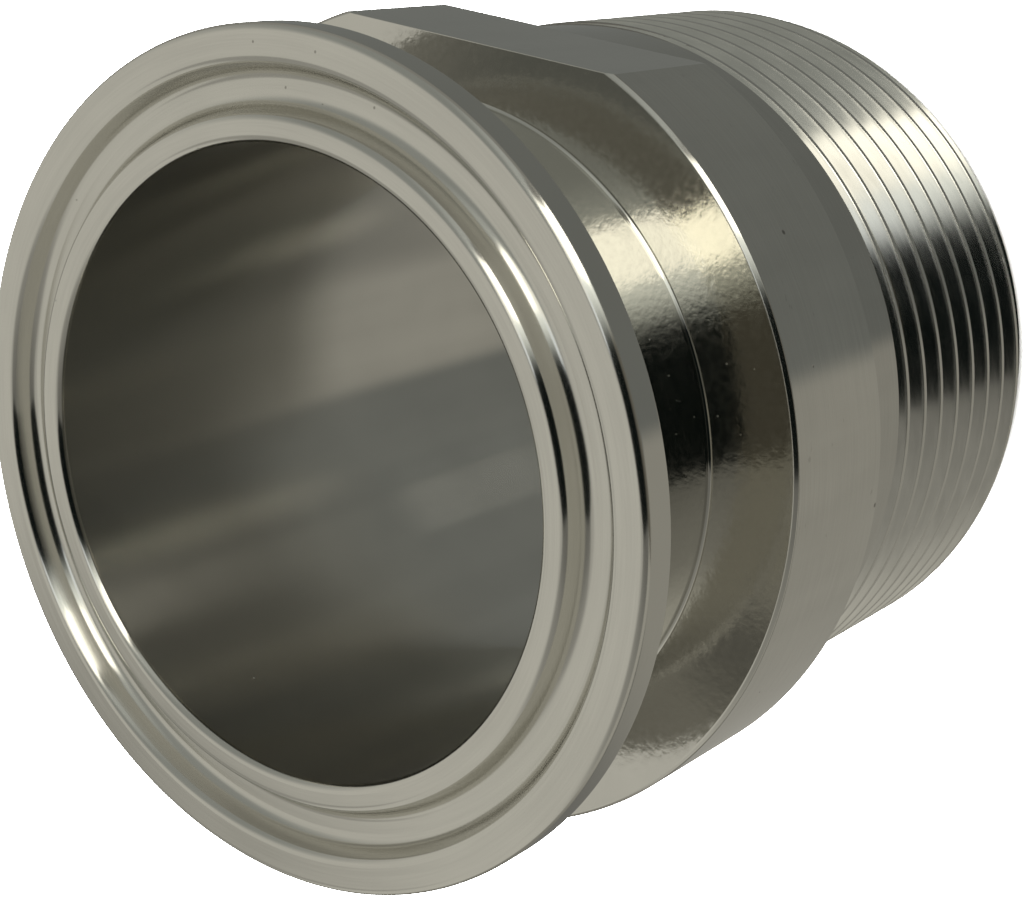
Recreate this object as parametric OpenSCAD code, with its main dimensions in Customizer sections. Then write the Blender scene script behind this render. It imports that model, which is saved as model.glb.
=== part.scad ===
// Sanitary clamp to pipe thread adapter, turned from one piece of stainless bar.
// It stands on its threaded end. The axis is Z and the clamp face is on top.

/* [Overall] */
// Height from the threaded end to the clamp face
total_h = 50.3; // [48:0.1:60]
// Diameter of the straight bore
bore_d = 37.3; // [30:0.1:38]

/* [Clamp flange] */
// Outer diameter of the clamp flange
flange_d = 50.5; // [50:0.1:52]
// Thickness of the flange at its rim
rim_h = 2.3; // [1.8:0.1:2.6]
// Slope of the flange's back, in degrees from flat
back_angle = 20; // [15:1:25]
// Radius of the rim's front corner
rim_round = 0.5; // [0.3:0.1:1]
// Mean diameter of the gasket groove
groove_d = 43.3; // [43:0.1:43.6]
// Width of the gasket groove between its walls, at the face
groove_w = 3; // [2.8:0.1:3.2]
// Depth of the gasket groove
groove_depth = 1.5; // [1.4:0.1:1.6]
// Slope of the groove's walls, in degrees from flat
groove_slope = 67; // [62:1:68]
// Radius of the rounding where the bore meets the face
bore_round = 0.5; // [0.2:0.1:0.6]

/* [Neck and collar] */
// Outer diameter of the neck
neck_d = 40.5; // [39.8:0.1:42]
// Distance from the clamp face to the collar's shoulder
shoulder_depth = 13.9; // [12:0.1:15]
// Outer diameter of the round collar
collar_d = 51.7; // [50:0.1:54]
// Length of the collar
collar_h = 9.9; // [8:0.1:11]
// Width across the two wrench flats
flats_w = 47.6; // [47.4:0.1:48]
// Chamfer on the collar's edge at the shoulder
collar_chamfer = 0.35; // [0.1:0.05:0.6]

/* [Thread] */
// Major diameter of the parallel pipe thread
thread_d = 47.5; // [47.45:0.05:47.8]
// Pitch of the thread, 11 threads to the inch
thread_pitch = 2.309; // [2.309]
// Length from the threaded end to the plain shank
thread_h = 19.8; // [16:0.1:22]
// Facets in one turn of the thread
turn_steps = 60; // [36:12:72]

/* [Hidden] */
$fn = 128;
steel = [0.62, 0.61, 0.56];
// Overlap that keeps cuts clear of faces
gap = 0.5;
bore_r = bore_d / 2;
flange_r = flange_d / 2;
neck_r = neck_d / 2;
collar_r = collar_d / 2;
collar_top = total_h - shoulder_depth;
collar_bottom = collar_top - collar_h;
collar_back_chamfer = 0.1;
rim_bottom = total_h - rim_h;
// The fillets at both ends of the neck
neck_fillet = 0.4;
back_fillet = 0.5;
// The groove's two edges and two bottom corners are rounded
groove_edge_round = 0.55;
groove_corner_round = 0.8;
// 55 degree thread, with a sixth of the pitch flat at crest and root
thread_depth = 0.6403 * thread_pitch;
thread_flat = thread_pitch / 6;
thread_flank = thread_pitch / 2 - thread_flat;
thread_r = thread_d / 2;
root_r = thread_r - thread_depth;
// Height of one crest at angle zero
thread_phase = 0.26;
// The last crest is turned away this far short of the shank
thread_runout = 0.4;
// The shank is turned a little under the thread's crest
shank_step = 0.15;
shank_r = thread_r - shank_step;
end_chamfer = 1.5;
bore_end_chamfer = 0.5;
// The threaded rod is longer at both ends than the thread that is cut from it
rod_turns = ceil(thread_h / thread_pitch) + 4;
rod_start = thread_phase - 2 * thread_pitch;
rod_rows = 4 * rod_turns;

// Corner piece for a rounding: it lies in the positive quadrant, its sharp corner at the origin
module corner(radius) {
    difference() {
        square(radius);
        translate([radius, radius])
            circle(radius);
    }
}

// Half section of the gasket groove, at its place on the face
module groove_section() {
    bottom = total_h - groove_depth;
    turn = tan(groove_slope / 2);
    edge_x = groove_w / 2 + groove_edge_round * turn;
    corner_x = groove_w / 2 - groove_depth / tan(groove_slope) - groove_corner_round * turn;
    // From the end of an arc of radius 1 to where it meets the wall
    arc = [sin(groove_slope), 1 - cos(groove_slope)];
    wall_top = [edge_x - groove_edge_round * arc.x, total_h - groove_edge_round * arc.y];
    wall_end = [corner_x + groove_corner_round * arc.x, bottom + groove_corner_round * arc.y];
    translate([groove_d / 2, 0])
        difference() {
            union() {
                polygon([
                    [-edge_x, total_h + gap],
                    [-edge_x, total_h],
                    [-wall_top.x, wall_top.y],
                    [-wall_end.x, wall_end.y],
                    [-corner_x, bottom],
                    [corner_x, bottom],
                    wall_end,
                    wall_top,
                    [edge_x, total_h],
                    [edge_x, total_h + gap]
                ]);
                for (side = [-1, 1])
                    translate([side * corner_x, bottom + groove_corner_round])
                        circle(groove_corner_round);
            }
            for (side = [-1, 1])
                translate([side * edge_x, total_h - groove_edge_round])
                    circle(groove_edge_round);
        }
}

// Fillet between the neck and the sloping back of the flange
module back_fillet_section() {
    centre_x = neck_r + back_fillet;
    back_y = rim_bottom - (flange_r - centre_x) * tan(back_angle);
    centre_y = back_y - back_fillet / cos(back_angle);
    difference() {
        polygon([
            [neck_r - gap, centre_y],
            [centre_x, centre_y],
            [centre_x - back_fillet * sin(back_angle), centre_y + back_fillet * cos(back_angle)],
            [neck_r - gap, back_y]
        ]);
        translate([centre_x, centre_y])
            circle(back_fillet);
    }
}

// Half section of the turned blank above the thread, from the axis outward
module blank_section() {
    difference() {
        union() {
            polygon([
                [0, thread_h],
                [shank_r, thread_h],
                [shank_r, collar_bottom],
                [collar_r - collar_back_chamfer, collar_bottom],
                [collar_r, collar_bottom + collar_back_chamfer],
                [collar_r, collar_top - collar_chamfer],
                [collar_r - collar_chamfer, collar_top],
                [neck_r, collar_top],
                [neck_r, rim_bottom - (flange_r - neck_r) * tan(back_angle)],
                [flange_r, rim_bottom],
                [flange_r, total_h],
                [0, total_h]
            ]);
            translate([neck_r, collar_top])
                corner(neck_fillet);
            back_fillet_section();
        }
        groove_section();
        translate([flange_r, total_h])
            rotate(180)
                corner(rim_round);
    }
}

// The blank, with the two wrench flats milled on its collar
module flatted_blank() {
    difference() {
        rotate_extrude()
            blank_section();
        for (turn = [0, 180])
            rotate(turn)
                translate([-collar_r, flats_w / 2, collar_bottom - gap / 2])
                    cube([collar_d, collar_r, collar_h + gap]);
    }
}

// One pitch of the thread, as heights above the middle of the crest and radii
ridge = [
    [-thread_flat / 2, thread_r],
    [thread_flat / 2, thread_r],
    [thread_flat / 2 + thread_flank, root_r],
    [thread_flat * 3 / 2 + thread_flank, root_r]
];

// Points up one side of the threaded rod, at step / turn_steps of a turn
function thread_column(step) = [
    for (turn = [0:rod_turns - 1], corner = ridge)
        let (
            angle = 360 * step / turn_steps,
            height = rod_start + thread_pitch * (turn + step / turn_steps) + corner[0]
        )
        [corner[1] * cos(angle), corner[1] * sin(angle), height]
];

// A right-hand threaded rod, closed at both ends by fans to a point on its axis
module thread_rod() {
    last = turn_steps - 1;
    points = [for (step = [0:last]) each thread_column(step)];
    bottom_point = len(points);
    top_point = bottom_point + 1;
    // The last column meets the first one a pitch higher, which is four points up
    wall = [
        for (step = [0:last], row = [0:rod_rows - (step < last ? 2 : 6)])
            let (
                here = step * rod_rows + row,
                next = step < last ? here + rod_rows : row + 4
            )
            each [[here, here + 1, next], [next, here + 1, next + 1]]
    ];
    bottom = [
        for (step = [0:last - 1]) [bottom_point, step * rod_rows, (step + 1) * rod_rows],
        [bottom_point, last * rod_rows, 4],
        for (row = [0:3]) [bottom_point, row + 1, row]
    ];
    top = [
        for (step = [1:last]) [top_point, (step + 1) * rod_rows - 1, step * rod_rows - 1],
        for (row = [1:4]) [top_point, turn_steps * rod_rows - row - 1, turn_steps * rod_rows - row],
        [top_point, rod_rows - 1, turn_steps * rod_rows - 5]
    ];
    polyhedron(
        points = concat(points, [
            [0, 0, rod_start - thread_pitch],
            [0, 0, rod_start + thread_pitch * (rod_turns + 2)]
        ]),
        faces = concat(wall, bottom, top),
        convexity = 10
    );
}

// What the rod is turned down to: chamfered at its end, and cut back where it nears the shank
module thread_envelope() {
    slope = thread_flank / thread_depth;
    crest_end = thread_h - thread_runout;
    rotate_extrude()
        polygon([
            [0, 0],
            [thread_r - end_chamfer, 0],
            [thread_r + gap, end_chamfer + gap],
            [thread_r + gap, crest_end - gap * slope],
            [thread_r - (thread_runout + gap) / slope, thread_h + gap],
            [0, thread_h + gap]
        ]);
}

module adapter() {
    color(steel)
        difference() {
            union() {
                flatted_blank();
                intersection() {
                    thread_rod();
                    thread_envelope();
                }
            }
            translate([0, 0, -gap])
                cylinder(r = bore_r, h = total_h + 2 * gap);
            rotate_extrude()
                translate([bore_r, total_h])
                    rotate(-90)
                        corner(bore_round);
            translate([0, 0, -gap])
                cylinder(r1 = bore_r + bore_end_chamfer + gap, r2 = bore_r, h = bore_end_chamfer + gap);
        }
}

adapter();
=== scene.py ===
import math

import bpy
import numpy as np
from mathutils import Matrix, Vector


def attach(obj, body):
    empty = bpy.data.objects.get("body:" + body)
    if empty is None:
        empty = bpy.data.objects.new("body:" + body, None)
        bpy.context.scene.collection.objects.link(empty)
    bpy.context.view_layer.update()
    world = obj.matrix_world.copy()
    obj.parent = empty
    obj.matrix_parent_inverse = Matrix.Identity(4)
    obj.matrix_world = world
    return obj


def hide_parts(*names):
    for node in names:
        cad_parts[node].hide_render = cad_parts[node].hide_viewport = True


# Sizes of the part, in millimetres, as in its source
TOTAL_H = 50.3
BORE_R = 18.65
FLANGE_R = 25.25
RIM_H = 2.3
RIM_ROUND = 0.5
BACK_ANGLE = math.radians(20)
BACK_FILLET = 0.5
GROOVE_R = 21.65
GROOVE_HALF = 1.5
GROOVE_DEPTH = 1.5
GROOVE_SLOPE = 67.0
GROOVE_EDGE_ROUND = 0.55
GROOVE_CORNER_ROUND = 0.8
BORE_ROUND = 0.5
BORE_END_CHAMFER = 0.5
NECK_R = 20.25
COLLAR_R = 25.85
COLLAR_TOP = 36.4
COLLAR_BOTTOM = 26.5
COLLAR_BACK_CHAMFER = 0.1
FLAT_Y = 23.8
SHANK_R = 23.6
THREAD_R = 23.75
THREAD_H = 19.8
THREAD_PITCH = 2.309
THREAD_DEPTH = 0.6403 * THREAD_PITCH
THREAD_FLAT = THREAD_PITCH / 6
THREAD_FLANK = THREAD_PITCH / 2 - THREAD_FLAT
THREAD_PHASE = 0.26
THREAD_RUNOUT = 0.4
END_CHAMFER = 1.5
ROOT_R = THREAD_R - THREAD_DEPTH
FLANK_ANGLE = math.atan2(THREAD_DEPTH, THREAD_FLANK)

# Two edges that are finer than in the source: the photograph's highlights on them are thin
COLLAR_CHAMFER = 0.22
NECK_FILLET = 0.25
# Small roundings that only the looks have
RIM_BACK_ROUND = 0.2
EDGE_ROUND = 0.06
THREAD_CREST_ROUND = 0.1
THREAD_ROOT_ROUND = 0.25

# Columns of the mesh round the axis: on each flat, and on each round side between the flats
FLAT_COLUMNS = 32
ROUND_COLUMNS = 96
# Arcs of the section get a ring at least this often, in degrees
ARC_STEP = 9.0
# Bands of the straight parts that have more than one
BORE_BANDS, BACK_BANDS, NECK_BANDS, SHANK_BANDS = 8, 2, 4, 2
# Points on the thread's roundings: over a crest, at each end of a root, and under the next crest
CREST_POINTS, ROOT_POINTS, NEXT_CREST_POINTS = 5, 3, 4
# Heights and radii of the thread closer than this are taken as equal
CLOSE = 1e-6
TINY = 1e-9
# Halvings in the search for the place where the thread meets its envelope
HALVINGS = 30

# The camera, from the photograph
CAMERA_PLACE = (0.07262, 0.04277, 0.13074)
CAMERA_AIM = (-0.00389, 0.00249, 0.02690)
CAMERA_ROLL = 105.467
CAMERA_LENS = 71.469
CAMERA_SHIFT = (0.0308, -0.1060)
CAMERA_CLIP = (0.005, 20)

# The floor and the light over it
FLOOR_SIZE = 3.0
FLOOR_COLOUR = (0.92, 0.92, 0.92, 1)
FLOOR_ROUGH = 0.9
FLOOR_LIGHT = 400.0
FLOOR_LIGHT_SIZE = 2.0
FLOOR_LIGHT_HEIGHT = 2.0

# The window and gap: their middle's direction, half width at the horizon, and what it gains
# with the square of the height
WINDOW_TURN = 31.0
WINDOW_HALF_WIDTH = 34.5
WINDOW_WIDENING = 0.0047
# Tints of the room's greys
PALE = (1.0, 0.98, 0.89)
WARM = (1.0, 0.97, 0.86)
COOL = (1.0, 1.03, 0.96)
# The gap below and above the horizon, and the top of the window's dim part
GAP_LOW = (0.15, 0.14, 0.115, 1)
GAP_HIGH = (0.004, 0.006, 0.0055, 1)
DIM_TOP = (1.05, 1.1, 1.12, 1)

# Colours of the steel, of a pit in it, of dust on it and of painted shade in the bore
STEEL = (0.62, 0.61, 0.565)
PIT_COLOUR = (0.1, 0.09, 0.07, 1)
DUST_COLOUR = (0.9, 0.88, 0.8, 1)
PAINTED_SHADE_COLOUR = (0.26, 0.255, 0.22, 1)
# Roughness of each finish, where it is smoothest and roughest
FACE_ROUGH = (0.14, 0.18)
POLISHED_ROUGH = (0.05, 0.09)
SHOULDER_ROUGH = (0.1, 0.15)
SIDES_ROUGH = (0.08, 0.14)
BORE_ROUGH = (0.1, 0.235)
THREAD_ROUGH = (0.1, 0.16)
CREST_ROUGHER = 0.12
DUST_ROUGH = 0.7
# Depths of the bumps, in metres
FINE_BUMP = 2.5e-7
CLOUD_BUMP = 4e-6
PIT_BUMP = 1e-5
# The share of a tool mark's spacing that comes from the height, beside the radius
HEIGHT_WEIGHT = 1.3
# A spot is full to this share of its size, and ends at this one
SPOT_FULL, SPOT_END = 0.5, 1.2

# Painted shade patches in the bore: direction from the axis, start and full heights, strength
BORE_PAINTED_SHADES = (
    ((-0.74, 0.67, 0), 0.026, 0.04, 0.85),
    ((-0.97, 0.242, 0), 0.023, 0.031, 0.7),
    ((-0.8, -0.6, 0), 0.03, 0.04, 0.45),
    ((0.17, -0.98, 0), 0.026, 0.034, 0.45),
)
# A painted shade patch's edge and full part, as cosines of the turn from its direction
SHADE_PATCH_EDGE, SHADE_PATCH_FULL = 0.72, 0.95
# Places of single marks, in millimetres
FACE_PITS = (
    (5.5, 22.2, 50.3), (5.0, 22.0, 50.3), (5.9, 21.4, 49.1), (3.5, 21.6, 48.8),
    (-4.3, 23.8, 50.3), (-3.0, 21.4, 48.8), (-8.1, 17.0, 50.1), (0.3, 24.1, 50.3),
)
COLLAR_PITS = ((25.84, 0.7, 26.75), (19.9, 16.5, 32.0))
SHOULDER_DUST = ((20.05, 9.6, 36.4), (21.8, 9.8, 36.4), (20.0, 6.5, 36.4), (21.6, 5.9, 36.4))
NECK_DUST = ((18.8, 7.6, 39.0), (18.85, 7.5, 38.7), (17.1, 10.8, 40.0))
BORE_DUST = ((-6.0, -17.6, 44.0),)

# The slots of the adapter's materials
POLISHED, SATIN, BORE, SHOULDER, SIDES, THREADED = range(6)


class Skin:
    """Rings of points round the axis joined by bands, with a normal for each face corner."""

    def __init__(self):
        self.points = []
        self.faces = []
        self.normals = []
        self.slots = []

    def ring(self, points):
        first = len(self.points)
        self.points.extend(np.asarray(points, float))
        return np.arange(first, len(self.points))

    def quads(self, corners, normals, slot):
        """Quads from four arrays of points and four of normals.

        One with two equal corners becomes a triangle.
        """
        a, b, c, d = (np.array([self.points[i] for i in corner]) for corner in corners)
        flip = (np.cross(c - a, d - b) * sum(normals)).sum() < 0
        for k in range(len(a)):
            face = [(int(corner[k]), normal[k]) for corner, normal in zip(corners, normals)]
            kept = [x for i, x in enumerate(face) if x[0] != face[i - 1][0]]
            if len(kept) < 3:
                continue
            if flip:
                kept.reverse()
            self.faces.append([x[0] for x in kept])
            self.normals.extend(tuple(x[1]) for x in kept)
            self.slots.append(slot)

    def band(self, low, high, low_normals, high_normals, slot):
        """A closed band between two rings."""
        turn = np.roll(np.arange(len(low)), -1)
        self.quads(
            (low, low[turn], high[turn], high),
            (low_normals, low_normals[turn], high_normals[turn], high_normals), slot,
        )

    def to_object(self, name, materials):
        mesh = bpy.data.meshes.new(name)
        mesh.from_pydata([tuple(p / 1000) for p in self.points], [], self.faces)
        for material in materials:
            mesh.materials.append(material)
        mesh.polygons.foreach_set("material_index", self.slots)
        mesh.polygons.foreach_set("use_smooth", [True] * len(self.faces))
        mesh.normals_split_custom_set(self.normals)
        mesh.update()
        piece = bpy.data.objects.new(name, mesh)
        bpy.context.scene.collection.objects.link(piece)
        return piece


def column_angles():
    """The angle of each column: even on the flats and even between them."""
    edge = math.degrees(math.asin(FLAT_Y / COLLAR_R))
    right = np.linspace(-edge, edge, ROUND_COLUMNS, endpoint=False)
    top = np.linspace(edge, 180 - edge, FLAT_COLUMNS, endpoint=False)
    return np.radians(np.concatenate([right, top, right + 180, top + 180]))


ANGLES = column_angles()
COS, SIN = np.cos(ANGLES), np.sin(ANGLES)


def circle(radius, height):
    return np.column_stack([radius * COS, radius * SIN, np.full(len(ANGLES), height)])


def turned_normal(radial, axial):
    length = math.hypot(radial, axial)
    normals = np.column_stack([COS * radial, SIN * radial, np.full(len(ANGLES), axial)])
    return normals / length


def arc(centre, radius, start, stop, outward=1):
    """Points (radius, height, radial normal, axial normal) of an arc.

    Angles are in degrees from the radial direction.
    """
    steps = max(2, math.ceil(abs(stop - start) / ARC_STEP))
    out = []
    for a in np.radians(np.linspace(start, stop, steps + 1)):
        c, s = math.cos(a), math.sin(a)
        out.append((centre[0] + radius * c, centre[1] + radius * s, outward * c, outward * s))
    return out


def line(start, stop, normal, steps=1):
    """Points, as those of an arc, of a straight part."""
    length = math.hypot(*normal)
    n = (normal[0] / length, normal[1] / length)
    return [
        (start[0] + (stop[0] - start[0]) * t, start[1] + (stop[1] - start[1]) * t, *n)
        for t in np.linspace(0, 1, steps + 1)
    ]


def sweep(skin, runs, slot, first):
    """Turns runs of section points into bands, from the ring that the first run starts on.

    The end of one run and the start of the next share a ring.
    """
    last = first
    for run in runs:
        for k, (r, z, nr, nz) in enumerate(run):
            normals = turned_normal(nr, nz)
            if k:
                here = skin.ring(circle(r, z))
                skin.band(last, here, before, normals, slot)
                last = here
            before = normals
    return last


def bore_runs():
    start, stop = BORE_END_CHAMFER, TOTAL_H - BORE_ROUND
    return [
        line((BORE_R + BORE_END_CHAMFER, 0), (BORE_R, start), (-1, -1)),
        line((BORE_R, start), (BORE_R, stop), (-1, 0), BORE_BANDS),
    ]


def face_runs():
    """The clamp face from the bore's edge round the rim's front corner, with its gasket groove."""
    turn = math.radians(GROOVE_SLOPE)
    edge, corner = GROOVE_EDGE_ROUND, GROOVE_CORNER_ROUND
    bottom = TOTAL_H - GROOVE_DEPTH
    edge_x = GROOVE_HALF + edge * math.tan(turn / 2)
    corner_x = GROOVE_HALF - GROOVE_DEPTH / math.tan(turn) - corner * math.tan(turn / 2)
    runs = [
        arc((BORE_R + BORE_ROUND, TOTAL_H - BORE_ROUND), BORE_ROUND, 180, 90),
        line((BORE_R + BORE_ROUND, TOTAL_H), (GROOVE_R - edge_x, TOTAL_H), (0, 1)),
        arc((GROOVE_R - edge_x, TOTAL_H - edge), edge, 90, 90 - GROOVE_SLOPE),
        arc((GROOVE_R - corner_x, bottom + corner), corner, 270 - GROOVE_SLOPE, 270, -1),
        arc((GROOVE_R + corner_x, bottom + corner), corner, 270, 270 + GROOVE_SLOPE, -1),
        arc((GROOVE_R + edge_x, TOTAL_H - edge), edge, 90 + GROOVE_SLOPE, 90),
        line((GROOVE_R + edge_x, TOTAL_H), (FLANGE_R - RIM_ROUND, TOTAL_H), (0, 1)),
        arc((FLANGE_R - RIM_ROUND, TOTAL_H - RIM_ROUND), RIM_ROUND, 90, 0),
    ]
    # straight pieces between the groove's four arcs, with the normals of their ends
    for k in (5, 4, 3):
        runs.insert(k, [runs[k - 1][-1], runs[k][0]])
    return runs


def rim_runs():
    """The rim's side, the flange's sloping back, the neck and its fillet at the shoulder."""
    back_low = TOTAL_H - RIM_H
    back_turn = 90 - math.degrees(BACK_ANGLE)
    pull = RIM_BACK_ROUND * math.tan(math.radians(back_turn / 2))
    centre_x = NECK_R + BACK_FILLET
    back_z = back_low - (FLANGE_R - centre_x) * math.tan(BACK_ANGLE)
    centre_z = back_z - BACK_FILLET / math.cos(BACK_ANGLE)
    back = (math.sin(BACK_ANGLE), -math.cos(BACK_ANGLE))
    taper_top = (FLANGE_R - pull * math.cos(BACK_ANGLE), back_low - pull * math.sin(BACK_ANGLE))
    fillet_top = (centre_x - BACK_FILLET * back[0], centre_z - BACK_FILLET * back[1])
    low = COLLAR_TOP + NECK_FILLET
    return [
        line((FLANGE_R, TOTAL_H - RIM_ROUND), (FLANGE_R, back_low + pull), (1, 0)),
        arc((FLANGE_R - RIM_BACK_ROUND, back_low + pull), RIM_BACK_ROUND, 0, -back_turn),
        line(taper_top, fillet_top, back, BACK_BANDS),
        arc((centre_x, centre_z), BACK_FILLET, 90 + math.degrees(BACK_ANGLE), 180, -1),
        line((NECK_R, centre_z), (NECK_R, low), (1, 0), NECK_BANDS),
        arc((NECK_R + NECK_FILLET, low), NECK_FILLET, 180, 270, -1),
    ]


def shank_runs():
    edge = EDGE_ROUND
    return [
        line((SHANK_R, COLLAR_BOTTOM), (SHANK_R, THREAD_H + edge), (1, 0), SHANK_BANDS),
        arc((SHANK_R - edge, THREAD_H + edge), edge, 0, -90),
    ]


def collar_ring(radius, height, inset=0.0):
    """A ring of the collar: an arc of this radius on the round sides, straight on the flats.

    The flats are set in by inset.
    """
    flat_y = FLAT_Y - inset
    edge_new = math.asin(flat_y / radius)
    edge_old = math.asin(FLAT_Y / COLLAR_R)
    out = []
    for k, angle in enumerate(ANGLES):
        half = math.pi if k >= ROUND_COLUMNS + FLAT_COLUMNS else 0.0
        turn = angle - half
        if abs(turn) <= edge_old + TINY:
            turn *= edge_new / edge_old
            x, y = radius * math.cos(turn), radius * math.sin(turn)
        else:
            share = (turn - math.pi / 2) / (math.pi / 2 - edge_old)
            turn = math.pi / 2 + share * (math.pi / 2 - edge_new)
            x, y = flat_y / math.tan(turn), flat_y
        sign = -1 if half else 1
        out.append((sign * x, sign * y, height))
    return np.array(out)


def collar_band(skin, low, high, round_low, round_high, flat_low, flat_high, slot):
    """A band whose faces have one kind of normal on the round sides and another on the flats."""
    turn = np.roll(np.arange(len(low)), -1)
    flat = np.repeat([False, True, False, True], [ROUND_COLUMNS, FLAT_COLUMNS] * 2)
    side = np.where(np.arange(len(low)) < ROUND_COLUMNS + FLAT_COLUMNS, 1.0, -1.0)
    angle = np.array([math.atan2(skin.points[i][1], skin.points[i][0]) for i in low])

    def turned(at, pair):
        axial = np.full(len(at), pair[1])
        return np.column_stack([np.cos(at) * pair[0], np.sin(at) * pair[0], axial])

    def straight(pair):
        return np.column_stack([np.zeros(len(low)), side * pair[0], np.full(len(low), pair[1])])

    round_normals = (
        turned(angle, round_low), turned(angle[turn], round_low),
        turned(angle[turn], round_high), turned(angle, round_high),
    )
    flat_normals = (
        straight(flat_low), straight(flat_low), straight(flat_high), straight(flat_high),
    )
    for mask, normals in ((~flat, round_normals), (flat, flat_normals)):
        normals = [n[mask] / np.linalg.norm(n[mask], axis=1)[:, None] for n in normals]
        skin.quads((low[mask], low[turn][mask], high[turn][mask], high[mask]), normals, slot)


def collar(skin, neck_ring):
    """Shoulder, chamfer, round sides, flats and back face, down to the shank."""
    up, down, out = (0, 1), (0, -1), (1, 0)
    bevel, above_bevel = (1, 1), (0.38, 0.92)
    under_round, under_flat = (0.6, -0.8), (0.7, -0.7)
    edge, chamfer, back = EDGE_ROUND, COLLAR_CHAMFER, COLLAR_BACK_CHAMFER
    # each step: radius, height, inset of the flats, normal on the round sides, normal on the flats
    steps = [
        (COLLAR_R - chamfer - edge, COLLAR_TOP, edge, up, up),
        (COLLAR_R - chamfer, COLLAR_TOP - 0.2 * edge, 0.3 * edge, above_bevel, above_bevel),
        (COLLAR_R - chamfer + 0.8 * edge, COLLAR_TOP - edge, 0, bevel, out),
        (COLLAR_R - edge, COLLAR_TOP - chamfer + edge * 0.3, 0, bevel, out),
        (COLLAR_R, COLLAR_TOP - chamfer - edge, 0, out, out),
        (COLLAR_R, COLLAR_BOTTOM + back + edge, 0, out, out),
        (COLLAR_R - back, COLLAR_BOTTOM + edge * 0.5, 0.2 * edge, under_round, under_flat),
        (COLLAR_R - back - edge, COLLAR_BOTTOM, 1.2 * edge, down, down),
    ]
    # the chamfer has the satin finish of the clamp face
    chamfer_bands = 4
    rings = [skin.ring(collar_ring(r, z, inset)) for r, z, inset, _, _ in steps]
    collar_band(skin, neck_ring, rings[0], up, up, up, up, SHOULDER)
    for k in range(len(steps) - 1):
        collar_band(
            skin, rings[k], rings[k + 1], steps[k][3], steps[k + 1][3],
            steps[k][4], steps[k + 1][4], SATIN if k < chamfer_bands else SIDES,
        )
    shank = skin.ring(circle(SHANK_R, COLLAR_BOTTOM))
    collar_band(skin, rings[-1], shank, down, down, down, down, SIDES)
    return shank


def thread_pitch_points():
    """One pitch of the ridge, upward from the middle of a crest: height, radius and normal."""
    turn = math.degrees(FLANK_ANGLE)
    crest, root = THREAD_CREST_ROUND, THREAD_ROOT_ROUND
    pull = math.tan(FLANK_ANGLE / 2)
    crest_edge = THREAD_FLAT / 2 - crest * pull
    root_start = THREAD_FLAT / 2 + THREAD_FLANK + root * pull
    root_end = THREAD_PITCH - root_start
    # each arc: height of its level end, radii along the axis and across it, radius there,
    # whether its normals lean up or down, and its first angle, last angle and points
    arcs = (
        (crest_edge, crest, crest, THREAD_R, 1, (0, turn, CREST_POINTS)),
        (root_start, -root, -root, ROOT_R, 1, (turn, 0, ROOT_POINTS)),
        (root_end, root, -root, ROOT_R, -1, (0, turn, ROOT_POINTS)),
        (THREAD_PITCH - crest_edge, -crest, crest, THREAD_R, -1, (turn, 0, NEXT_CREST_POINTS)),
    )
    out = []
    for height, along, across, radius, lean, angles in arcs:
        for a in np.radians(np.linspace(*angles)):
            c, s = math.cos(a), math.sin(a)
            out.append((height + along * s, radius - across * (1 - c), c, lean * s))
    return out


def envelope(z):
    """The radius that the thread is turned down to at a height, and the normal of that surface."""
    crest_end = THREAD_H - THREAD_RUNOUT
    if z < END_CHAMFER:
        return THREAD_R - END_CHAMFER + z, (math.sqrt(0.5), -math.sqrt(0.5))
    if z > crest_end:
        drop = (z - crest_end) * THREAD_DEPTH / THREAD_FLANK
        return THREAD_R - drop, (math.cos(FLANK_ANGLE), math.sin(FLANK_ANGLE))
    # well clear of the crests
    return THREAD_R + 1.0, (1.0, 0.0)


def blend(one, two, share):
    return tuple(a + (b - a) * share for a, b in zip(one, two))


def thread_column(rows, rise):
    """One column of the thread, cut to the envelope.

    It is a list of pairs: height, radius and normal of a point, and the cut's normal or None.
    """
    lifted = [(h + rise, r, nr, nz) for h, r, nr, nz in rows]
    over = [p[1] > envelope(p[0])[0] + TINY for p in lifted]
    out = []
    for i, point in enumerate(lifted):
        if not over[i]:
            out.append((point, None))
            continue
        near = next((j for j in (i - 1, i + 1) if 0 <= j < len(over) and not over[j]), None)
        if near is not None:
            # slide to where the thread meets the envelope
            low, high = 0.0, 1.0
            for _ in range(HALVINGS):
                share = (low + high) / 2
                p = blend(lifted[near], point, share)
                low, high = (low, share) if p[1] > envelope(p[0])[0] else (share, high)
            point = blend(lifted[near], point, low)
        radius, normal = envelope(point[0])
        out.append(((point[0], min(point[1], radius), point[2], point[3]), normal))
    return out


def end_point(column, height):
    """Where a column crosses a height."""
    for (p, _), (q, _) in zip(column, column[1:]):
        if p[0] <= height < q[0]:
            point = blend(p, q, (height - p[0]) / (q[0] - p[0]))
            radius, normal = envelope(height)
            if point[1] > radius - CLOSE:
                return (height, radius, point[2], point[3]), normal
            return (height, *point[1:]), None
    raise ValueError("the thread is too short for its trim")


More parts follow.
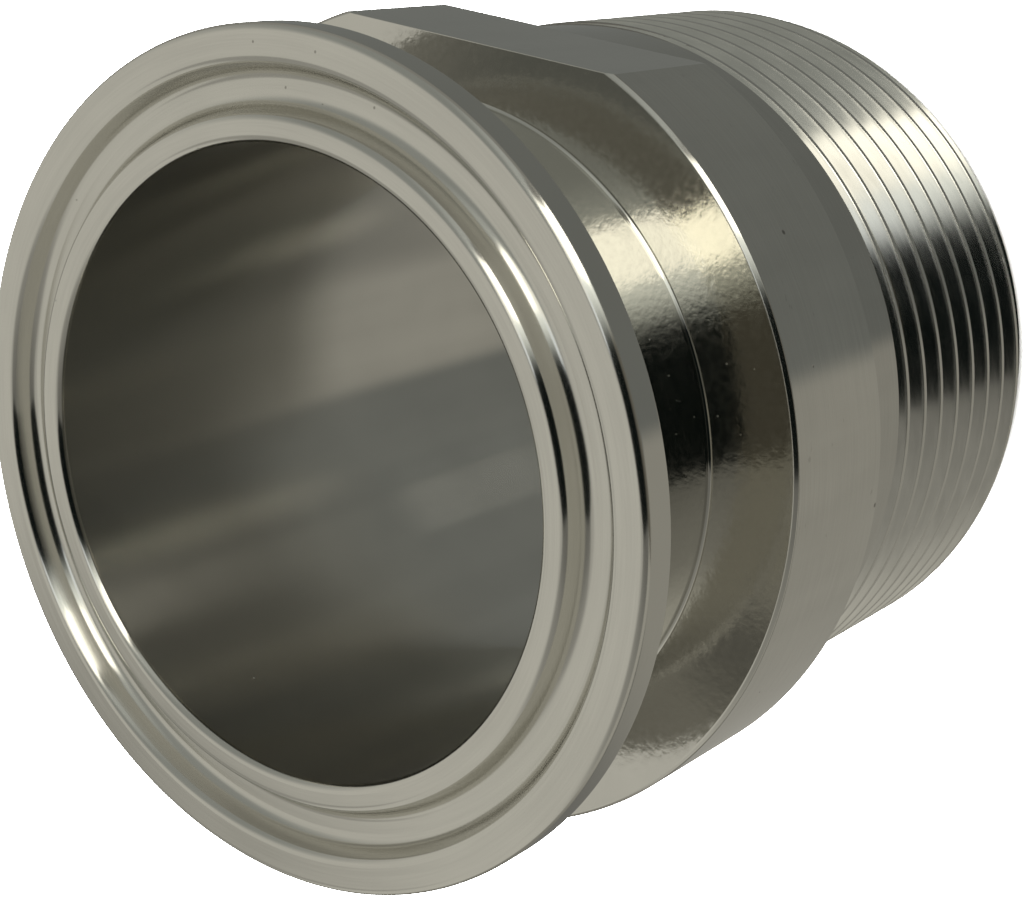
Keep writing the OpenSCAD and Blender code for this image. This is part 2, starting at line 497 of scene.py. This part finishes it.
def thread(skin, shank_low):
    """The helical surface from the shank's lower face to the threaded end, and the ring there."""
    ridge = thread_pitch_points()
    turns = range(-3, math.ceil(THREAD_H / THREAD_PITCH) + 1)
    rows = [(n * THREAD_PITCH + h, r, nr, nz) for n in turns for h, r, nr, nz in ridge]
    order = np.argsort(ANGLES % (2 * math.pi))
    count, steps = len(order), len(rows)
    lead = THREAD_PITCH / (2 * math.pi)
    index = np.zeros((count + 1, steps), int)
    normals = np.zeros((count + 1, steps, 3))
    cut_normals = np.zeros((count + 1, steps, 3))
    cut = np.zeros((count + 1, steps), bool)
    low_ring, high_ring = np.zeros(count, int), np.zeros(count, int)
    for c, k in enumerate(order):
        angle = ANGLES[k] % (2 * math.pi)
        co, si = math.cos(angle), math.sin(angle)
        column = thread_column(rows, THREAD_PHASE + lead * angle)
        low, high = end_point(column, 0.0), end_point(column, THREAD_H)
        inside = [i for i, (p, _) in enumerate(column) if CLOSE < p[0] < THREAD_H - CLOSE]
        first, last = inside[0], inside[-1]
        kept = [low] + column[first:last + 1] + [high]
        ids = skin.ring([(p[1] * co, p[1] * si, p[0]) for p, _ in kept])
        low_ring[k], high_ring[k] = ids[0], ids[-1]
        where = np.clip(np.arange(steps) - first + 1, 0, len(kept) - 1)
        index[c] = ids[where]
        for s in range(steps):
            p, cut_normal = kept[where[s]]
            side = -lead * p[3] / p[1]
            n = np.array((p[2] * co - side * si, p[2] * si + side * co, p[3]))
            normals[c, s] = n / np.linalg.norm(n)
            cut[c, s] = cut_normal is not None
            if cut_normal:
                cut_normals[c, s] = (cut_normal[0] * co, cut_normal[0] * si, cut_normal[1])
    # the column after the last is the first one, a pitch higher
    above = np.minimum(np.arange(steps) + len(ridge), steps - 1)
    for table in (index, normals, cut_normals, cut):
        table[count] = table[0, above]
    here, following = slice(None, -1), slice(1, None)
    for s in range(steps - 1):
        corners = [(here, s), (following, s), (following, s + 1), (here, s + 1)]
        use_cut = np.logical_and.reduce([cut[at] for at in corners])[:, None]
        skin.quads(
            [index[at] for at in corners],
            [np.where(use_cut, cut_normals[at], normals[at]) for at in corners],
            THREADED,
        )
    down = turned_normal(0, -1)
    skin.band(shank_low, high_ring, down, down, THREADED)
    return low_ring


def build_adapter(materials):
    skin = Skin()
    start = skin.ring(circle(BORE_R + BORE_END_CHAMFER, 0))
    last = sweep(skin, bore_runs(), BORE, start)
    last = sweep(skin, face_runs(), SATIN, last)
    last = sweep(skin, rim_runs(), POLISHED, last)
    last = collar(skin, last)
    last = sweep(skin, shank_runs(), SIDES, last)
    end = thread(skin, last)
    down = turned_normal(0, -1)
    skin.band(end, start, down, down, THREADED)
    return skin.to_object("adapter_skin", materials)


class Nodes:
    """A small helper that adds nodes to a tree and links them."""

    def __init__(self, tree):
        self.tree = tree

    def plug(self, socket, value):
        """Links another node's socket to this one, or gives it a fixed value."""
        if isinstance(value, bpy.types.NodeSocket):
            self.tree.links.new(value, socket)
        else:
            socket.default_value = value

    def add(self, kind, links=None, **settings):
        node = self.tree.nodes.new(kind)
        for name, value in settings.items():
            setattr(node, name, value)
        for socket, value in (links or {}).items():
            self.plug(node.inputs[socket], value)
        return node

    def maths(self, operation, *values):
        return self.add("ShaderNodeMath", dict(enumerate(values)), operation=operation).outputs[0]

    def between(self, value, start, stop, low=0.0, high=1.0):
        """A smooth step from low to high while the value goes from start to stop."""
        links = {0: value, 1: start, 2: stop, 3: low, 4: high}
        return self.add("ShaderNodeMapRange", links, interpolation_type="SMOOTHSTEP").outputs[0]

    def mix(self, factor, one, two):
        node = self.add("ShaderNodeMix", data_type="RGBA")
        for socket, value in (("Factor", factor), ("A", one), ("B", two)):
            self.plug(next(s for s in node.inputs if s.name == socket and s.enabled), value)
        return next(s for s in node.outputs if s.enabled)


class Finish(Nodes):
    """Nodes of one steel finish. Lengths are in metres, in the part's own frame."""

    def __init__(self, name):
        self.material = bpy.data.materials.new(name)
        self.material.use_nodes = True
        super().__init__(self.material.node_tree)
        self.shader = self.tree.nodes["Principled BSDF"]
        self.shader.inputs["Metallic"].default_value = 1
        self.place = self.add("ShaderNodeTexCoord").outputs["Object"]
        split = self.add("ShaderNodeSeparateXYZ", {0: self.place}).outputs
        flat = self.add("ShaderNodeCombineXYZ", {"X": split["X"], "Y": split["Y"]}).outputs[0]
        self.height = split["Z"]
        self.radius = self.vector("LENGTH", flat)
        self.around = self.vector("NORMALIZE", flat)
        self.normal = None

    def vector(self, operation, *values, **links):
        links = {**dict(enumerate(values)), **links}
        node = self.add("ShaderNodeVectorMath", links, operation=operation)
        single = operation in ("LENGTH", "DISTANCE", "DOT_PRODUCT")
        return node.outputs["Value" if single else "Vector"]

    def noise(self, place, scale=1.0, detail=2.0):
        links = {"Vector": place, "Scale": scale, "Detail": detail}
        return self.add("ShaderNodeTexNoise", links).outputs[0]

    def noise_round_axis(self, turn, lift):
        """Noise that varies with the direction from the axis, times turn, and with lift."""
        lift = self.add("ShaderNodeCombineXYZ", {"Z": lift}).outputs[0]
        return self.noise(self.vector("ADD", self.vector("SCALE", self.around, Scale=turn), lift))

    def tool_marks(self, gap, stretch):
        """Noise in lines round the axis, about this gap apart. More stretch makes shorter lines."""
        across = self.maths("MULTIPLY_ADD", self.height, HEIGHT_WEIGHT, self.radius)
        return self.noise_round_axis(stretch, self.maths("MULTIPLY", across, 1 / gap))

    def draw_marks(self, turn, stretch):
        """Noise in long streaks along the axis. More stretch makes shorter streaks."""
        return self.noise_round_axis(turn, self.maths("MULTIPLY", self.height, stretch))

    def average(self, *values):
        """The mean of some noises."""
        total = values[0]
        for value in values[1:]:
            total = self.maths("ADD", total, value)
        return self.maths("MULTIPLY", total, 1 / len(values))

    def clouded(self, tone, start, stop, dark, light):
        """The steel's colour, from dark to light shares while the tone goes from start to stop."""
        return self.mix(self.between(tone, start, stop), toned(dark), toned(light))

    def bump(self, height, distance):
        links = {"Height": height, "Distance": distance, "Strength": 1.0}
        if self.normal:
            links["Normal"] = self.normal
        self.normal = self.add("ShaderNodeBump", links).outputs[0]

    def spots(self, places, size):
        """A mask of small round spots at these places, in millimetres."""
        mask = None
        for place in places:
            away = self.vector("DISTANCE", self.place, tuple(v / 1000 for v in place))
            spot = self.between(away, SPOT_FULL * size, SPOT_END * size, 1.0, 0.0)
            mask = self.maths("MAXIMUM", mask, spot) if mask else spot
        return mask

    def random_spots(self, spacing, size, share):
        """A mask of scattered round spots: one in each share of the cells."""
        links = {"Vector": self.place, "Scale": 1 / spacing}
        cells = self.add("ShaderNodeTexVoronoi", links).outputs
        chosen = self.add("ShaderNodeSeparateColor", {0: cells["Color"]}).outputs[0]
        full, end = SPOT_FULL * size / spacing, SPOT_END * size / spacing
        spot = self.between(cells["Distance"], full, end, 1.0, 0.0)
        return self.maths("MULTIPLY", spot, self.maths("GREATER_THAN", chosen, 1 - share))

    def across_marks(self, amount):
        """Spreads the gloss across the turned lines, as on any lathe-cut face."""
        self.shader.inputs["Anisotropic"].default_value = amount
        self.shader.inputs["Anisotropic Rotation"].default_value = 0.25
        tangent = self.add("ShaderNodeTangent", direction_type="RADIAL", axis="Z")
        self.tree.links.new(tangent.outputs[0], self.shader.inputs["Tangent"])

    def dusted(self, dust, colour, roughness):
        """A colour and a roughness with dust on them."""
        rough_dust = self.maths("MULTIPLY", dust, DUST_ROUGH)
        return self.mix(dust, colour, DUST_COLOUR), self.maths("MAXIMUM", roughness, rough_dust)

    def done(self, colour, roughness):
        links = self.tree.links
        links.new(colour, self.shader.inputs["Base Color"])
        links.new(roughness, self.shader.inputs["Roughness"])
        if self.normal:
            links.new(self.normal, self.shader.inputs["Normal"])
        return self.material


def toned(share):
    """The steel's colour, darker or lighter by a share."""
    return (*(c * share for c in STEEL), 1)


def face_finish():
    """Satin clamp face, groove and collar chamfer: fine turned lines, cloudy tone, a few pits."""
    f = Finish("steel_face")
    fine = f.tool_marks(0.00012, 5.0)
    broad = f.tool_marks(0.0007, 1.5)
    cloud = f.noise(f.place, 140)
    clouds = f.maths("MULTIPLY", f.maths("ADD", broad, cloud), 0.35)
    tone = f.maths("ADD", f.maths("MULTIPLY", fine, 0.3), clouds)
    pits = f.maths("MAXIMUM", f.spots(FACE_PITS, 0.00009), f.random_spots(0.0016, 0.00006, 0.12))
    colour = f.clouded(tone, 0.3, 0.7, 0.93, 1.04)
    colour = f.mix(f.maths("MULTIPLY", pits, 0.5), colour, PIT_COLOUR)
    f.bump(fine, FINE_BUMP)
    f.bump(broad, 2.5e-6)
    f.bump(f.maths("MULTIPLY", pits, -1), PIT_BUMP)
    f.across_marks(0.8)
    return f.done(colour, f.between(tone, 0.25, 0.75, *FACE_ROUGH))


def polished_finish():
    """Polished rim, flange back and neck: a mirror with faint turned lines."""
    f = Finish("steel_polished")
    fine = f.tool_marks(0.0002, 4.0)
    colour = f.mix(f.noise(f.place, 160), toned(0.94), toned(1.04))
    dust = f.maths("MULTIPLY", f.spots(NECK_DUST, 0.00006), 0.6)
    f.bump(fine, 3e-7)
    f.bump(f.noise(f.place, 900), 1.6e-6)
    return f.done(*f.dusted(dust, colour, f.between(fine, 0.3, 0.7, *POLISHED_ROUGH)))


def shoulder_finish():
    """The shoulder: polished over a coarser grain, which ripples its reflections."""
    f = Finish("steel_shoulder")
    peel = f.noise(f.place, 2400, 2.0)
    ripple = f.noise(f.place, 600, 1.0)
    colour = f.mix(f.noise(f.place, 200), toned(0.93), toned(1.04))
    dust = f.maths(
        "MAXIMUM", f.spots(SHOULDER_DUST, 0.00006), f.random_spots(0.0018, 0.00005, 0.03))
    dust = f.maths("MULTIPLY", dust, 0.6)
    f.bump(ripple, 6e-6)
    f.bump(peel, 8e-6)
    return f.done(*f.dusted(dust, colour, f.between(peel, 0.3, 0.7, *SHOULDER_ROUGH)))


def sides_finish():
    """Collar and shank: fine turned finish, clouded, with small marks. The shank is darkened by
    painted shade.
    """
    f = Finish("steel_sides")
    fine = f.tool_marks(0.00015, 4.0)
    cloud = f.noise(f.place, 110, 3.0)
    tone = f.average(fine, cloud, f.draw_marks(9.0, 60.0))
    # painted shade: the shank, tucked under the collar, gets a darker colour
    shank_painted_shade = f.between(f.radius, 0.0237, 0.0238, 0.88, 1.0)
    shank_painted_shade = f.add("ShaderNodeCombineXYZ", {0: shank_painted_shade, 1: shank_painted_shade, 2: shank_painted_shade}).outputs[0]
    colour = f.vector("MULTIPLY", f.clouded(tone, 0.3, 0.7, 0.92, 1.06), shank_painted_shade)
    nicks = f.between(f.tool_marks(0.0006, 26.0), 0.7, 0.78)
    pits = f.maths("MAXIMUM", f.spots(COLLAR_PITS, 0.00016), f.random_spots(0.002, 0.00008, 0.15))
    marks = f.maths("MAXIMUM", f.maths("MULTIPLY", nicks, 0.18), f.maths("MULTIPLY", pits, 0.7))
    colour = f.mix(marks, colour, PIT_COLOUR)
    f.bump(fine, FINE_BUMP)
    f.bump(cloud, CLOUD_BUMP)
    f.bump(f.maths("MULTIPLY", pits, -1), PIT_BUMP)
    return f.done(colour, f.between(tone, 0.25, 0.75, *SIDES_ROUGH))


def bore_finish():
    """The bore: streaked along the axis; towards the clamp face it is rougher, and painted shade
    darkens it.
    """
    f = Finish("steel_bore")
    cloud = f.noise(f.place, 90, 3.0)
    tone = f.average(f.draw_marks(6.0, 8.0), cloud)
    unshaded = f.clouded(tone, 0.35, 0.65, 0.96, 1.09)
    # painted shade: the bore's colour is darker towards the clamp face
    bore_painted_shade = f.clouded(tone, 0.35, 0.65, 0.6, 0.84)
    colour = f.mix(f.between(f.height, 0.026, 0.048), unshaded, bore_painted_shade)
    # patches of painted shade: a darker colour standing in for the bore's darker reflections
    for direction, start, full, strength in BORE_PAINTED_SHADES:
        facing = f.between(f.vector("DOT_PRODUCT", f.around, direction), SHADE_PATCH_EDGE, SHADE_PATCH_FULL)
        shade_patch = f.maths("MULTIPLY", facing, f.between(f.height, start, full))
        colour = f.mix(f.maths("MULTIPLY", shade_patch, strength), colour, PAINTED_SHADE_COLOUR)
    f.bump(cloud, CLOUD_BUMP)
    f.across_marks(1.0)
    rough = f.between(f.height, 0.012, 0.042, *BORE_ROUGH)
    rough = f.maths("MULTIPLY_ADD", tone, 0.03, rough)
    return f.done(*f.dusted(f.spots(BORE_DUST, 0.00009), colour, rough))


def thread_finish():
    """Cut thread: bright flanks with fine tool lines, and slightly duller crests."""
    f = Finish("steel_thread")
    fine = f.tool_marks(0.00011, 9.0)
    cloud = f.noise(f.place, 300, 3.0)
    tone = f.average(fine, cloud)
    crest = f.between(f.radius, 0.02355, 0.02372)
    f.bump(fine, FINE_BUMP)
    f.bump(cloud, 3e-6)
    rough = f.between(tone, 0.25, 0.75, *THREAD_ROUGH)
    rough = f.maths("MULTIPLY_ADD", crest, CREST_ROUGHER, rough)
    return f.done(f.clouded(tone, 0.3, 0.7, 0.92, 1.05), rough)


def build_floor():
    mesh = bpy.data.meshes.new("floor")
    s = FLOOR_SIZE / 2
    mesh.from_pydata([(-s, -s, 0), (s, -s, 0), (s, s, 0), (-s, s, 0)], [], [(0, 1, 2, 3)])
    floor = bpy.data.objects.new("floor", mesh)
    bpy.context.scene.collection.objects.link(floor)
    material = bpy.data.materials.new("floor_white")
    material.use_nodes = True
    shader = material.node_tree.nodes["Principled BSDF"]
    shader.inputs["Base Color"].default_value = FLOOR_COLOUR
    shader.inputs["Roughness"].default_value = FLOOR_ROUGH
    mesh.materials.append(material)
    floor.visible_glossy = False


def build_camera():
    data = bpy.data.cameras.new("camera")
    data.lens = CAMERA_LENS
    data.shift_x, data.shift_y = CAMERA_SHIFT
    data.clip_start, data.clip_end = CAMERA_CLIP
    camera = bpy.data.objects.new("camera", data)
    bpy.context.scene.collection.objects.link(camera)
    place, aim = Vector(CAMERA_PLACE), Vector(CAMERA_AIM)
    forward = (aim - place).normalized()
    level = Vector((0, 0, 1)) - forward * forward.z
    level.normalize()
    roll = math.radians(CAMERA_ROLL)
    up = level * math.cos(roll) + forward.cross(level) * math.sin(roll)
    right = forward.cross(up)
    turn = Matrix((right, up, -forward)).transposed().to_4x4()
    camera.matrix_world = Matrix.Translation(place) @ turn
    bpy.context.scene.camera = camera


def grey(value, tint=PALE):
    return (*(value * share for share in tint), 1)


def build_world():
    """A pale room, with a bright window and a dark gap side by side behind the camera, and a dim
    lower half. Limits are in degrees, and those of place in half widths of window and gap."""
    world = bpy.data.worlds.new("studio")
    bpy.context.scene.world = world
    world.use_nodes = True
    tree = world.node_tree
    tree.nodes.clear()
    n = Nodes(tree)

    def opening(value, rise, fall):
        """A mask that comes in over one range and goes out over another."""
        return n.maths("MULTIPLY", n.between(value, *rise), n.between(value, *fall, 1.0, 0.0))

    def bearing(x, y):
        return n.maths("DEGREES", n.maths("ARCTAN2", y, x))

    direction = n.add("ShaderNodeTexCoord").outputs["Generated"]
    split = n.add("ShaderNodeSeparateXYZ", {0: direction}).outputs
    height = n.maths("DEGREES", n.maths("ARCSINE", split["Z"]))
    # side is measured from the middle of the window and gap, opposite from the far side
    turn = {"Vector": direction, "Angle": math.radians(-WINDOW_TURN)}
    turned = n.add("ShaderNodeVectorRotate", turn, rotation_type="Z_AXIS").outputs[0]
    x, y = n.add("ShaderNodeSeparateXYZ", {0: turned}).outputs[:2]
    side = bearing(x, y)
    opposite = bearing(n.maths("MULTIPLY", x, -1), n.maths("MULTIPLY", y, -1))
    # the pair's half width grows with height: its edges are at the places -1 and 1
    square = n.maths("MULTIPLY", height, height)
    half = n.maths("MULTIPLY_ADD", square, WINDOW_WIDENING, WINDOW_HALF_WIDTH)
    place = n.maths("DIVIDE", side, half)

    # the room above the horizon: dimmer beside the window and the gap than at the far side
    dim = n.mix(n.between(side, -78, -42), grey(0.32), grey(0.19))
    dim = n.mix(n.between(side, -108, -78), grey(0.6), dim)
    dim = n.mix(n.between(height, 56, 62), dim, grey(0.5))
    room = n.mix(n.between(side, -120, -95), grey(0.62), dim)
    near = n.mix(n.between(side, 48, 75), grey(0.5, COOL), grey(0.32, COOL))
    room = n.mix(n.between(side, 40, 45), room, near)
    room = n.mix(n.between(side, 100, 150), room, grey(0.62))
    # something darker stands low at the far side
    low_side = opening(opposite, (-5, 5), (24, 34))
    low_side = n.maths("MULTIPLY", low_side, n.between(height, 38, 42.5, 1.0, 0.0))
    room = n.mix(low_side, room, grey(0.37))

    # below the horizon: cooler on the window's side, warmer on the other, with a dark patch there
    below = n.mix(n.between(side, -26, -18), grey(0.35, WARM), grey(0.18, COOL))
    rise = n.mix(n.between(side, -115, -85), grey(0.25, WARM), grey(0.45, WARM))
    rise = n.mix(n.between(side, -30, -10), rise, grey(0.3))
    below = n.mix(n.between(height, -42, -22), below, rise)
    patch = n.between(side, -80, -60, 1.0, 0.0)
    patch = n.maths("MULTIPLY", patch, opening(height, (-52, -47), (-42, -32)))
    below = n.mix(patch, below, grey(0.17))
    room = n.mix(n.between(height, -4, 2), below, room)

    # the gap, the dim part of the window, and its bright part, which is brightest low down
    gap = n.mix(n.between(height, -8, 8), GAP_LOW, GAP_HIGH)
    dim_stop = n.between(height, 58, 68, 0.5, 0.16)
    dim_part = n.mix(n.between(height, 58, 66), grey(1.2, COOL), DIM_TOP)
    window = n.mix(n.between(place, 0.05, dim_stop), gap, dim_part)
    bright = n.mix(n.between(height, -30, 52), grey(4.6, WARM), grey(2.5, WARM))
    bright = n.mix(n.between(height, 55, 61), bright, grey(1.35, WARM))
    window = n.mix(n.between(place, 0.49, 0.53), window, bright)
    # the gap is wider below the horizon
    gap_place = n.maths("ADD", place, n.between(height, -24, 6, 0.2, 0.0))
    right_edge = n.between(place, 0.98, 1.04, 1.0, 0.0)
    edges = n.maths("MULTIPLY", n.between(gap_place, -1.04, -0.98), right_edge)
    reach = opening(height, (-34, -28), (74, 82))
    colour = n.mix(n.maths("MULTIPLY", edges, reach), room, window)
    background = n.add("ShaderNodeBackground", {"Color": colour})
    n.add("ShaderNodeOutputWorld", {"Surface": background.outputs[0]})


def build_floor_light():
    """A wide soft light from above for the floor. Reflections leave it out and show the room."""
    data = bpy.data.lights.new("overhead", "AREA")
    data.shape = "DISK"
    data.size = FLOOR_LIGHT_SIZE
    data.energy = FLOOR_LIGHT
    light = bpy.data.objects.new("overhead", data)
    light.location = (0, 0, FLOOR_LIGHT_HEIGHT)
    light.visible_glossy = False
    light.visible_camera = False
    bpy.context.scene.collection.objects.link(light)


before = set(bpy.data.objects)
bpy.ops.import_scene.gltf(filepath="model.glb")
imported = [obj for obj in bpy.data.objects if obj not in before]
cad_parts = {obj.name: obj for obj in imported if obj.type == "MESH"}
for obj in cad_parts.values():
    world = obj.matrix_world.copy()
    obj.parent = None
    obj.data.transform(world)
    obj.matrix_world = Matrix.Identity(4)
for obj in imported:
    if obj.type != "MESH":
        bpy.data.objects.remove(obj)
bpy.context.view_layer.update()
bpy.context.scene.view_settings.view_transform = "Standard"
build_camera()
build_floor()
build_world()
build_floor_light()
adapter = build_adapter([
    polished_finish(), face_finish(), bore_finish(),
    shoulder_finish(), sides_finish(), thread_finish(),
])
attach(adapter, "root")
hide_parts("adapter")
